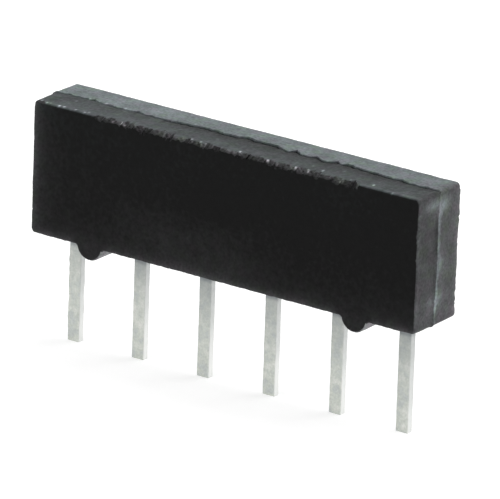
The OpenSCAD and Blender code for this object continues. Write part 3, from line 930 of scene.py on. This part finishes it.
# The same on the level top just before the right corner, and how far from the end that begins
NEAR_CORNER_SHADING, NEAR_CORNER, LEVEL = 0.4, 0.42, 0.99
# Where the broad face's grey begins and has taken over round an edge, as shares of the edge's inset
SIDE_TURN, TOP_TURN, BACK_TURN = (0.3, 1.0), (0.02, 0.4), (0.5, 1.0)
# Dust on the ends, more of it in the smear, the most there can be, and how soon it clears towards a corner
END_DUST, SMEAR_DUST, MOST_DUST, CORNER_CLEARING = 0.15, 1.3, 0.9, 1.5


def corner_shade_share():
    """How far a place is into the painted shade on the round corner between the top and an end, which depends
    on how far up it faces, and just before it on the right.
    """
    rise = outward[:, 1]
    corner = read_off(CORNER_SHADING, rise)
    before = fade(ring[:, 0], HALF_L - NEAR_CORNER, HALF_L - CORNER_R) * (rise > LEVEL)
    return (corner + (side == TOP) * NEAR_CORNER_SHADING * before) * (rise > 0)


def skin_grey(corner_shade):
    """The grey of every point: by side, then painted shade on the top corners, chips and painted glints, and
    black on the faces.
    """
    # The standoffs' flanks get a painted reflection of the white floor
    lit_flank = (ring[:, 1] < BASE_Z - FLANK_DROP) * np.abs(outward[:, 0])
    base = np.broadcast_to(mix(BASE_GREY, FLANK_REFLECTION_GREY, lit_flank), depth.shape)
    grey = np.select([side == TOP, side == BASE], [top_greys, base], end_greys)
    shaded_corner_grey = mix(CORNER_SHADE_GREY, CORNER_BACK_SHADE_GREY, fade(depth - line, *CORNER_BLEND))
    grey = mix(grey, shaded_corner_grey, corner_shade)
    front_turn = [mix(plain, top, to_top) for plain, top in zip(SIDE_TURN, TOP_TURN)]
    hidden = np.where(depth < 0, fade(inset / front_r, *front_turn), fade(inset / back_r, *BACK_TURN))
    shown = np.where(on_face[:, None], 0, 1 - hidden)
    grey = np.where(chipped, chip_greys, mix(face_greys, grey, shown))
    return mix(grey, GLINT_GREY, glints)


corner_shade = corner_shade_share()
grey = skin_grey(corner_shade)
dust = (side == TOP) * ~chipped * (1 - np.clip(CORNER_CLEARING * corner_shade, 0, 1))
dust = np.maximum(dust, on_end * np.clip(END_DUST + SMEAR_DUST * smear, 0, MOST_DUST))
print_range("whole block: greys", grey)

# %% [markdown]
# ## From rows to a mesh
# Neighbouring points of neighbouring rows make quads, which gives a tube that is open in front and behind.
# One large polygon over each opening would shade badly. So a lid is made of fans of triangles about a row
# of points along the middle of the face, its spine.

# %% Mesh helpers
SHARP_ANGLE = np.radians(40)


def mesh_object(name, points, faces):
    """A mesh object from points in millimetres and a list of faces, with soft shading and crisp edges."""
    mesh = bpy.data.meshes.new(name)
    mesh.from_pydata((points * MM).tolist(), [], faces)
    mesh.polygons.foreach_set("use_smooth", np.ones(len(mesh.polygons), bool))
    mesh.set_sharp_from_angle(angle=SHARP_ANGLE)
    piece = bpy.data.objects.new(name, mesh)
    bpy.context.scene.collection.objects.link(piece)
    return piece


def carry(piece, name, values):
    """Gives each vertex of a piece its own number, for the material to read."""
    layer = piece.data.attributes.new(name, "FLOAT", "POINT")
    layer.data.foreach_set("value", np.asarray(values, np.float32).ravel())


# %% Block mesh
SPINE_COUNT, SPINE_INSET = 14, 0.5


def lid(edge, spine, nearest):
    """Triangles that close a ring: each edge runs to its nearest spine point, and wherever the nearest one
    changes, one triangle more fills the gap between the two."""
    after, then = np.roll(edge, -1), np.roll(nearest, -1)
    fans = np.stack([edge, after, spine[nearest]], -1)
    gaps = np.stack([after, spine[then], spine[nearest]], -1)
    return np.concatenate([fans, gaps[nearest != then]])


def sock(grid):
    """Points and faces of a closed skin from rows of rings: a quad between each two neighbours, and a lid on
    either end about a spine, which is a row of points along the middle of the face."""
    count, length = grid.shape[:2]
    index = np.arange(count * length).reshape(count, length)
    turned = np.roll(index, -1, 1)
    quads = np.stack([index[:-1], index[1:], turned[1:], turned[:-1]], -1).reshape(-1, 4)
    x = grid[0, :, 0]
    spine_x = np.linspace(x.min() + SPINE_INSET, x.max() - SPINE_INSET, SPINE_COUNT)
    nearest = np.abs(x[:, None] - spine_x).argmin(1)
    spine_z = np.full(SPINE_COUNT, (grid[0, :, 2].min() + grid[0, :, 2].max()) / 2)
    spines = [np.stack([spine_x, np.full(SPINE_COUNT, y), spine_z], -1) for y in (-HALF_T, HALF_T)]
    first = count * length + np.arange(SPINE_COUNT)
    front = lid(index[0], first, nearest)
    rear = lid(index[-1], first + SPINE_COUNT, nearest)[:, ::-1]
    points = np.concatenate([grid.reshape(-1, 3)] + spines)
    return points, quads.tolist() + front.tolist() + rear.tolist()


moulding = mesh_object("moulded_block", *sock(skin))
carry(moulding, "resin_grey", np.append(grey, np.full(2 * SPINE_COUNT, FACE_GREY)))
carry(moulding, "dust", np.append(dust, np.zeros(2 * SPINE_COUNT)))
print("block:", len(moulding.data.polygons), "faces")

# %% [markdown]
# ## Black moulding resin
# The resin is a glossy black epoxy filled with fine silica. Its colour is the grey that the mesh carries,
# mottled by two sizes of noise, with faint patches of green, blue and violet, and a cool cast where dust
# lies. An image would blur at this size, and noise in the piece's own coordinates doesn't.
# Fine grain in the bump and in the roughness breaks up the gloss, as filler grains do under the skin.

# %% Resin material
# Tints of the resin, by the noise that picks them: greenish, bluish and violet
TINTS = ((0.32, (0.95, 1.05, 0.93)), (0.48, (0.97, 1.0, 1.03)), (0.66, (1.06, 0.97, 1.07)))
TINT_SIZE = 0.4
CLEAN_CAST, DUST_CAST = (1.0, 1.0, 1.0), (0.87, 1.0, 1.0)
# The mottle of the grey: its size, and its least and most gain
BLOTCH_SIZE, BLOTCH_GAIN = 0.5, (0.8, 1.2)
SPECK_SIZE, SPECK_GAIN = 0.09, (0.75, 1.25)
# Grey that is added as fine grain and as clouds, what is taken off again, and the least that is left
FINE_SIZE, FINE_GREY = 0.17, 0.013
CLOUD_SIZE, CLOUD_GREY = 2.4, 0.011
GREY_OFF, LEAST_GREY = 0.0135, 0.001
GLOSS_SIZE, RESIN_ROUGHNESS, RESIN_IOR = 0.12, (0.42, 0.58), 1.19
# The relief: fine grit, broader lumps and their share, and its depth and strength
GRIT_SIZE, LUMP_SIZE, LUMP_SHARE = 0.045, 0.4, 1.5
GRIT_DEPTH, GRIT_STRENGTH = 0.004, 0.5


def principled(tree, output, values):
    """A surface of plastic or metal with the given values, joined to the material's output."""
    shader = add(tree, "BsdfPrincipled", values)
    tree.links.new(shader.outputs["BSDF"], output.inputs["Surface"])


def resin_material():
    """Carried grey times a mottle, tinted where dusty, over a rough gloss with fine grain."""
    material, tree, output = new_material("moulding_resin")
    blotch = spread(tree, grain(tree, BLOTCH_SIZE, 3.0), *BLOTCH_GAIN)
    speck = spread(tree, grain(tree, SPECK_SIZE, 2.0), *SPECK_GAIN)
    mottled = math(tree, "MULTIPLY", math(tree, "MULTIPLY", attribute(tree, "resin_grey"), blotch), speck)
    fine = math(tree, "MULTIPLY", grain(tree, FINE_SIZE, 1.0), FINE_GREY)
    cloud = math(tree, "MULTIPLY", grain(tree, CLOUD_SIZE, 1.0), CLOUD_GREY)
    summed = math(tree, "ADD", mottled, math(tree, "ADD", fine, cloud))
    lifted = math(tree, "MAXIMUM", math(tree, "SUBTRACT", summed, GREY_OFF), LEAST_GREY)
    patch = ramp(tree, grain(tree, TINT_SIZE, 1.5), *TINTS)
    cast = ramp(tree, attribute(tree, "dust"), (0.0, CLEAN_CAST), (1.0, DUST_CAST))
    tint = add(tree, "VectorMath", {0: patch, 1: cast}, operation="MULTIPLY").outputs["Vector"]
    colour = add(tree, "VectorMath", {0: tint, "Scale": lifted}, operation="SCALE").outputs["Vector"]
    lumps = math(tree, "MULTIPLY", grain(tree, LUMP_SIZE), LUMP_SHARE)
    grit = math(tree, "ADD", grain(tree, GRIT_SIZE, 3.0, 0.6), lumps)
    principled(tree, output, {
        "Base Color": colour,
        "Roughness": spread(tree, grain(tree, GLOSS_SIZE, 3.0), *RESIN_ROUGHNESS),
        "IOR": RESIN_IOR,
        "Normal": relief(tree, grit, GRIT_DEPTH, GRIT_STRENGTH),
    })
    return material


moulding.data.materials.append(resin_material())
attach(moulding, "root")
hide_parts("body")
print("finish: moulding resin on", moulding.name)

# %% [markdown]
# ## The tinned leads
# Each lead is stamped from one strip: a narrow stem, a wider shoulder, and three tines that spread to grip
# the plate, one in front and two behind. A stamped strip is a flat grid with some cells left out, so the
# surface is worked out as such a grid: rows up the strip, columns across it, a middle sheet, and half the
# metal's thickness to either side. Walls close it wherever a kept cell borders an empty one.

# %% Strip of a lead
LEAD_T = 0.25
STEM_W, SHOULDER_W = 0.46, 1.1
FRONT_TINE_W, TINE_SLOT = 0.36, 0.1
# How far the stem runs inside the body, and the height of the shoulder above it
STEM_INSIDE, SHOULDER_H = 0.2, 0.2
SHOULDER_Z0 = BASE_Z + STEM_INSIDE
SHOULDER_Z1 = SHOULDER_Z0 + SHOULDER_H
# Radius of the tin round a sheared edge, and columns across each band of the strip, closest at its edges
EDGE_R = 0.03
COLUMN_SHARES = np.array([0, 0.04, 0.12, 0.28, 0.5, 0.72, 0.88, 0.96])
# Rows of the strip: close to its tip, up the stem, and in the shoulder
TIP_ROWS = np.array([0, 0.005, 0.015])
STEM_GAP = 0.04
SHOULDER_ROWS, SHOULDER_LIP = 5, 0.02
tip_z = lead_boxes[0][0][2]

strip_edges = np.array([FRONT_TINE_W / 2, FRONT_TINE_W / 2 + TINE_SLOT, SHOULDER_W / 2])
strip_edges = np.concatenate([-strip_edges[::-1], strip_edges])
bands = [mix(a, b, COLUMN_SHARES) for a, b in zip(strip_edges, strip_edges[1:])]
across = np.concatenate(bands + [strip_edges[-1:]])
band_of_cell = np.repeat(np.arange(len(bands)), len(COLUMN_SHARES))
is_tine_cell = band_of_cell % 2 == 0
stem_z = np.append(tip_z + TIP_ROWS, np.arange(tip_z + EDGE_R, SHOULDER_Z0, STEM_GAP))
stem_z = np.append(stem_z, SHOULDER_Z0)
shoulder_z = np.linspace(SHOULDER_Z0 + SHOULDER_LIP, SHOULDER_Z1, SHOULDER_ROWS)
print("lead strip:", len(across), "columns,", len(stem_z), "rows in the stem")

# %% [markdown]
# ## The bent tines
# Above the shoulder the strip is slit, and its tines are bent apart to hold the plate like a clip. A bend
# changes only where the middle of the metal lies and which way its skins are, so both are worked out for
# each row and laid into the grid's columns, the middle ones for the front tine and the outer ones behind.

# %% Middle sheet of a lead
# The angle at which the tines leave the shoulder, the width and height of the flare at their tips, and the
# rows along each leg of a tine
SPREAD = np.radians(50)
FLARE_OUT, FLARE_H = 0.07, 0.15
TINE_PARTS = (0.25, 0.5, 0.75, 1.0)


def tine_path(way, reach, top_z):
    """A tine's middle line in y and z, and the side step at each of its points: out of the shoulder at the
    spread angle, up along the plate, and flared at the tip. Steps are mitred, so the metal keeps its
    thickness through each bend."""
    path = np.array([
        [0, SHOULDER_Z0],
        [0, SHOULDER_Z1],
        [way * reach, SHOULDER_Z1 + reach / np.tan(SPREAD)],
        [way * reach, top_z - FLARE_H],
        [way * (reach + FLARE_OUT), top_z],
    ])
    leg = np.diff(path, axis=0)
    leg /= np.linalg.norm(leg, axis=1)[:, None]
    normal = np.stack([-leg[:, 1], leg[:, 0]], -1)
    mitre = (normal[:-1] + normal[1:]) / (1 + (normal[:-1] * normal[1:]).sum(1))[:, None]
    return path[1:], np.concatenate([mitre, [[-1, 0]]])


def along_legs(points):
    """Values at a path's first point and at the given parts of each leg after it."""
    legs = [mix(a, b, part) for a, b in zip(points, points[1:]) for part in TINE_PARTS]
    return np.array([points[0]] + legs)


def middle_sheet(low, high):
    """The sheet half way through a lead's metal, in y and z on the strip's grid, the step from it to the
    front skin in half thicknesses of the metal, and the last row before the tines part."""
    is_front = np.abs(across) <= FRONT_TINE_W / 2 + HAIR
    is_rear = np.abs(across) >= FRONT_TINE_W / 2 + TINE_SLOT - HAIR
    front = tine_path(-1, -low[1] - FLARE_OUT - LEAD_T / 2, high[2])
    rear = tine_path(1, high[1] - FLARE_OUT - LEAD_T / 2, high[2])
    flat_z = np.concatenate([stem_z, shoulder_z])
    first = len(flat_z) - 1
    middle = np.zeros((first + len(along_legs(front[0])), len(across), 2))
    middle[: len(flat_z), :, 1] = flat_z[:, None]
    step_out = np.zeros_like(middle)
    step_out[..., 0] = -1
    for chosen, (path, steps) in ((is_front, front), (is_rear, rear)):
        middle[first:, chosen] = along_legs(path)[:, None]
        step_out[first:, chosen] = along_legs(steps)[:, None]
    return middle, step_out, first


sheets = [middle_sheet(low, high) for low, high in lead_boxes]
print("lead sheets:", len(sheets), "of", len(sheets[0][0]), "rows, tines from row", sheets[0][2])

# %% [markdown]
# ## The skin of a lead
# Below the body the tin rounds the strip's sheared edges, lets them wander and swells its faces, and close to
# the body it carries painted shade, darkest as a painted contact shadow just under the resin. So the grid
# that gives the shape also carries two numbers for the finish: how near an edge is, and how much painted
# shade the tin carries.

# %% Skins of a lead
# How far each lead's edges wander, the gaps of the waves that make them, and each wave's share in an edge
WAVE = (0.02, 0.007, 0.007, 0.010, 0.008, 0.007)
WAVE_GAPS, WAVE_SEED = (0.16, 0.22, 0.4, 0.5), 50
LEFT_SHARES, RIGHT_SHARES = (0.7, 0.5), (0.5, 0.5)
SWELL = 0.006
# The tip is rounded less than the edges, and the tin starts this far to either side of the body's base
TIP_SHARE, BARE_REACH = 0.3, 0.1
# How much painted shade each lead's tin carries where it leaves the body, and at its tip, and how far that
# wanders up and down
BODY_SHADE = (0.6, 0.9, 0.9, 0.9, 0.9, 0.9)
TIP_SHADE = (0.05, 0.0, 0.0, 0.0, 0.0, 0.1)
SHADE_WANDER = 0.15
# A painted contact shadow just under the body: where it ends, where it is full, and how much it darkens the
# tin
CONTACT_SHADOW_LOW, CONTACT_SHADOW_HIGH, CONTACT_SHADOW = -0.16, 0.0, 0.35


def round_off(distance):
    """How far the face of the metal falls away at a distance from its edge, for a round edge."""
    inside = EDGE_R - np.minimum(distance, EDGE_R)
    return EDGE_R - np.sqrt(EDGE_R**2 - inside**2)


def lead_grid(number, low, high, middle, step_out, first):
    """The front and back skins of a lead on its strip's grid, with a number for how near an edge is and one
    for how much painted shade the tin carries. Below the body the tin makes both edges wander and the faces
    swell a little."""
    width = np.where(np.arange(len(middle)) < len(stem_z), STEM_W, SHOULDER_W)[:, None]
    x = across * (width / SHOULDER_W)
    edge = (SHOULDER_W / 2 - np.abs(across)) * (width / SHOULDER_W)
    edge[first + 1 :] = np.abs(across[:, None] - strip_edges).min(1)
    z = middle[..., 1]
    edge = np.minimum(edge, np.abs(z - tip_z) + TIP_SHARE * EDGE_R)
    fall = round_off(edge)
    bare = 1 - fade(z, BASE_Z - BARE_REACH, BASE_Z + BARE_REACH)
    seed = WAVE_SEED + len(WAVE_GAPS) * number
    waves = [jags(z[:, :1], 1, gap, seed + k) for k, gap in enumerate(WAVE_GAPS)]
    left_wave = waves[0] * LEFT_SHARES[0] + waves[2] * LEFT_SHARES[1]
    right_wave = waves[1] * RIGHT_SHARES[0] + waves[3] * RIGHT_SHARES[1]
    share = across / SHOULDER_W + 0.5
    x = x + bare * WAVE[number] * mix(left_wave, right_wave, share)
    swell = SWELL * np.cos(np.pi * (share - 0.5)) * (1 + waves[2])
    half = LEAD_T / 2 - fall + bare * swell * (edge > 0)
    x = x + (low[0] + high[0]) / 2
    near_body = np.clip((z + SHADE_WANDER * waves[3] - tip_z) / (BASE_Z - tip_z), 0, 1)
    lead_shade = mix(TIP_SHADE[number], mix(BODY_SHADE[number], max(BODY_SHADE), fall / EDGE_R), near_body**2)
    lead_shade = np.minimum(1, lead_shade + CONTACT_SHADOW * fade(z, CONTACT_SHADOW_LOW, CONTACT_SHADOW_HIGH))
    offset = half[..., None] * step_out
    skins = [np.concatenate([x[..., None], middle + sign * offset], -1) for sign in (1, -1)]
    return skins, fall / EDGE_R, lead_shade


grids = [lead_grid(number, *box, *sheet) for number, (box, sheet) in enumerate(zip(lead_boxes, sheets))]
# Dullest here means the most painted shade on any lead
print("lead skins: dullest", max(lead_shade.max() for _, _, lead_shade in grids).round(3))

# %% Lead meshes
def lead_faces(count, first):
    """The quads of both skins and of the walls. A cell is kept below the tines, and above only in a tine. A
    wall stands on each grid line that has a kept cell on one side alone, turned to face out."""
    columns = len(across)
    kept = np.ones((count - 1, columns - 1), bool)
    kept[first:] = is_tine_cell
    index = np.arange(count * columns).reshape(count, columns)
    a, b, c, d = index[:-1, :-1][kept], index[:-1, 1:][kept], index[1:, 1:][kept], index[1:, :-1][kept]
    shift = count * columns
    quads = [np.stack([a, b, c, d], -1), np.stack([a, d, c, b], -1) + shift]
    padded = np.pad(kept, 1)
    before, after = padded[1:-1, :-1], padded[1:-1, 1:]
    below, above = padded[:-1, 1:-1], padded[1:, 1:-1]
    for wall, near, far in (
        (before & ~after, index[1:], index[:-1]),
        (after & ~before, index[:-1], index[1:]),
        (above & ~below, index[:, 1:], index[:, :-1]),
        (below & ~above, index[:, :-1], index[:, 1:]),
    ):
        p, q = near[wall], far[wall]
        quads.append(np.stack([p, q, q + shift, p + shift], -1))
    return np.concatenate(quads)


def tinned_lead(name, skins, edge, lead_shade):
    """A lead's mesh from its two skins and walls, without the grid points that no face uses."""
    points = np.concatenate([face.reshape(-1, 3) for face in skins])
    faces = lead_faces(len(edge), sheets[0][2])
    used, renumbered = np.unique(faces, return_inverse=True)
    piece = mesh_object(name, points[used], renumbered.reshape(-1, 4).tolist())
    carry(piece, "edge", np.tile(edge.ravel(), 2)[used])
    carry(piece, "lead_shade", np.tile(lead_shade.ravel(), 2)[used])
    return piece


leads = [tinned_lead(f"tinned_lead_{number}", *grid) for number, grid in enumerate(grids, 1)]
print("leads:", len(leads), "of", len(leads[0].data.polygons), "faces each")

# %% [markdown]
# ## Dull tin
# The leads are dipped in tin, which sets matt and slightly uneven. It is a metal, so its colour is the tint
# of its reflections: light grey with faint cool and greenish patches, darkened under the body by painted
# shade, darkest just below the resin as a painted contact shadow. The sheared narrow sides are paler, a
# painted highlight.

# %% Tin material
# The tin's tint, by the noise that picks it, and the painted highlight along its sheared edges, by how much
# painted shade lies there
TIN = ((0.35, (0.502, 0.529, 0.513)), (0.5, (0.556, 0.583, 0.535)), (0.68, (0.648, 0.659, 0.621)))
LIT_EDGE_TIN = ((0.0, (0.83, 0.84, 0.82)), (0.2, (0.63, 0.645, 0.63)), (1.0, (0.36, 0.375, 0.375)))
# The colour of the tin in full painted shade
SHADED_TIN = (0.2, 0.215, 0.22, 1)
TIN_PATCH_SIZE = 0.24
TIN_GRAIN_SIZE, TIN_GRAIN_GAIN = 0.07, (0.88, 1.08)
TIN_GLOSS_SIZE, TIN_ROUGHNESS = 0.15, (0.36, 0.52)
# The relief: soft ripples, small pimples and their share, and its depth and strength
RIPPLE_SIZE, PIMPLE_SIZE, PIMPLE_SHARE = 0.25, 0.05, 0.35
RIPPLE_DEPTH, RIPPLE_STRENGTH = 0.012, 0.5


def blend(tree, factor, first, second, **settings):
    """Two colours mixed by a factor."""
    values = {"Factor": factor, "A": first, "B": second}
    return add(tree, "Mix", values, data_type="RGBA", **settings).outputs["Result"]


def tin_material():
    """A rough metal whose tint wanders between cool and greenish grey, with painted shade under the body and
    a painted highlight along its sheared edges.
    """
    material, tree, output = new_material("dull_tin")
    patch = ramp(tree, grain(tree, TIN_PATCH_SIZE, 3.0), *TIN)
    fine = spread(tree, grain(tree, TIN_GRAIN_SIZE, 3.0), *TIN_GRAIN_GAIN)
    mottled = blend(tree, 1.0, patch, fine, blend_type="MULTIPLY")
    in_shade = attribute(tree, "lead_shade")
    shaded = blend(tree, in_shade, mottled, SHADED_TIN)
    # A painted highlight on the sheared edges
    lit_edges = blend(tree, attribute(tree, "edge"), shaded, ramp(tree, in_shade, *LIT_EDGE_TIN))
    pimples = math(tree, "MULTIPLY", grain(tree, PIMPLE_SIZE, 2.0), PIMPLE_SHARE)
    lumps = math(tree, "ADD", grain(tree, RIPPLE_SIZE, 2.0), pimples)
    principled(tree, output, {
        "Base Color": lit_edges,
        "Metallic": 1.0,
        "Roughness": spread(tree, grain(tree, TIN_GLOSS_SIZE, 3.0), *TIN_ROUGHNESS),
        "Normal": relief(tree, lumps, RIPPLE_DEPTH, RIPPLE_STRENGTH),
    })
    return material


tin = tin_material()
for number, lead in enumerate(leads, 1):
    lead.data.materials.append(tin)
    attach(lead, "root")
    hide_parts(f"lead_{number}")
print("finish: dull tin on", len(leads), "leads")

# %% [markdown]
# ## What is sealed inside
# The plate, its prints and the solder keep their CAD meshes, because flat printed films have no more shape
# than that. Each gets its own finish: fired alumina is a fine white grain, the conductor a dull silver
# print, the resistor ink dark with pale specks of glass, the overglaze a green glass, and solder a bright
# metal with soft ripples.

# %% Inner materials
# The patches of a layer's gloss and of its relief, beside those of its colour, and the relief's strength
GLOSS_SHARE, RELIEF_SHARE, RELIEF_STRENGTH = 2, 0.7, 0.6


def print_material(name, colours, size_mm, rough, metallic=0.0, depth_mm=0.004, **gloss):
    """A fired layer: a colour that wanders through stops, a roughness between two values, and fine relief."""
    material, tree, output = new_material(name)
    places = np.linspace(NOISE_LOW, NOISE_HIGH, len(colours))
    principled(tree, output, {
        "Base Color": ramp(tree, grain(tree, size_mm, 4.0, 0.6), *zip(places, colours)),
        "Metallic": metallic,
        "Roughness": spread(tree, grain(tree, size_mm * GLOSS_SHARE, 2.0), *rough),
        "Normal": relief(tree, grain(tree, size_mm * RELIEF_SHARE, 3.0), depth_mm, RELIEF_STRENGTH),
        **gloss,
    })
    return material


ALUMINA = print_material("alumina", [(0.74, 0.72, 0.66), (0.84, 0.82, 0.77)], 0.05, (0.55, 0.7))
CONDUCTOR = print_material(
    "silver_print", [(0.5, 0.49, 0.45), (0.6, 0.59, 0.55), (0.68, 0.67, 0.63)], 0.06, (0.35, 0.5), 1.0)
RESISTOR = print_material(
    "resistor_ink", [(0.012, 0.012, 0.014), (0.025, 0.025, 0.028), (0.08, 0.08, 0.08)], 0.03, (0.35, 0.5))
GLAZE = print_material(
    "green_overglaze", [(0.03, 0.085, 0.05), (0.05, 0.12, 0.075)], 0.2, (0.12, 0.2), depth_mm=0.003,
    **{"Coat Weight": 0.6, "Coat Roughness": 0.08})
SOLDER = print_material(
    "solder", [(0.55, 0.56, 0.57), (0.66, 0.67, 0.68)], 0.12, (0.2, 0.32), 1.0, depth_mm=0.01)
FINISHES = {
    "substrate": ALUMINA,
    "conductor": CONDUCTOR,
    "resistor": RESISTOR,
    "overglaze": GLAZE,
    "solder": SOLDER,
}
for name, node in nodes.items():
    kind = name.split("_")[0]
    if kind in FINISHES:
        node.data.materials.clear()
        node.data.materials.append(FINISHES[kind])
print("finish: inner pieces", sorted(FINISHES))
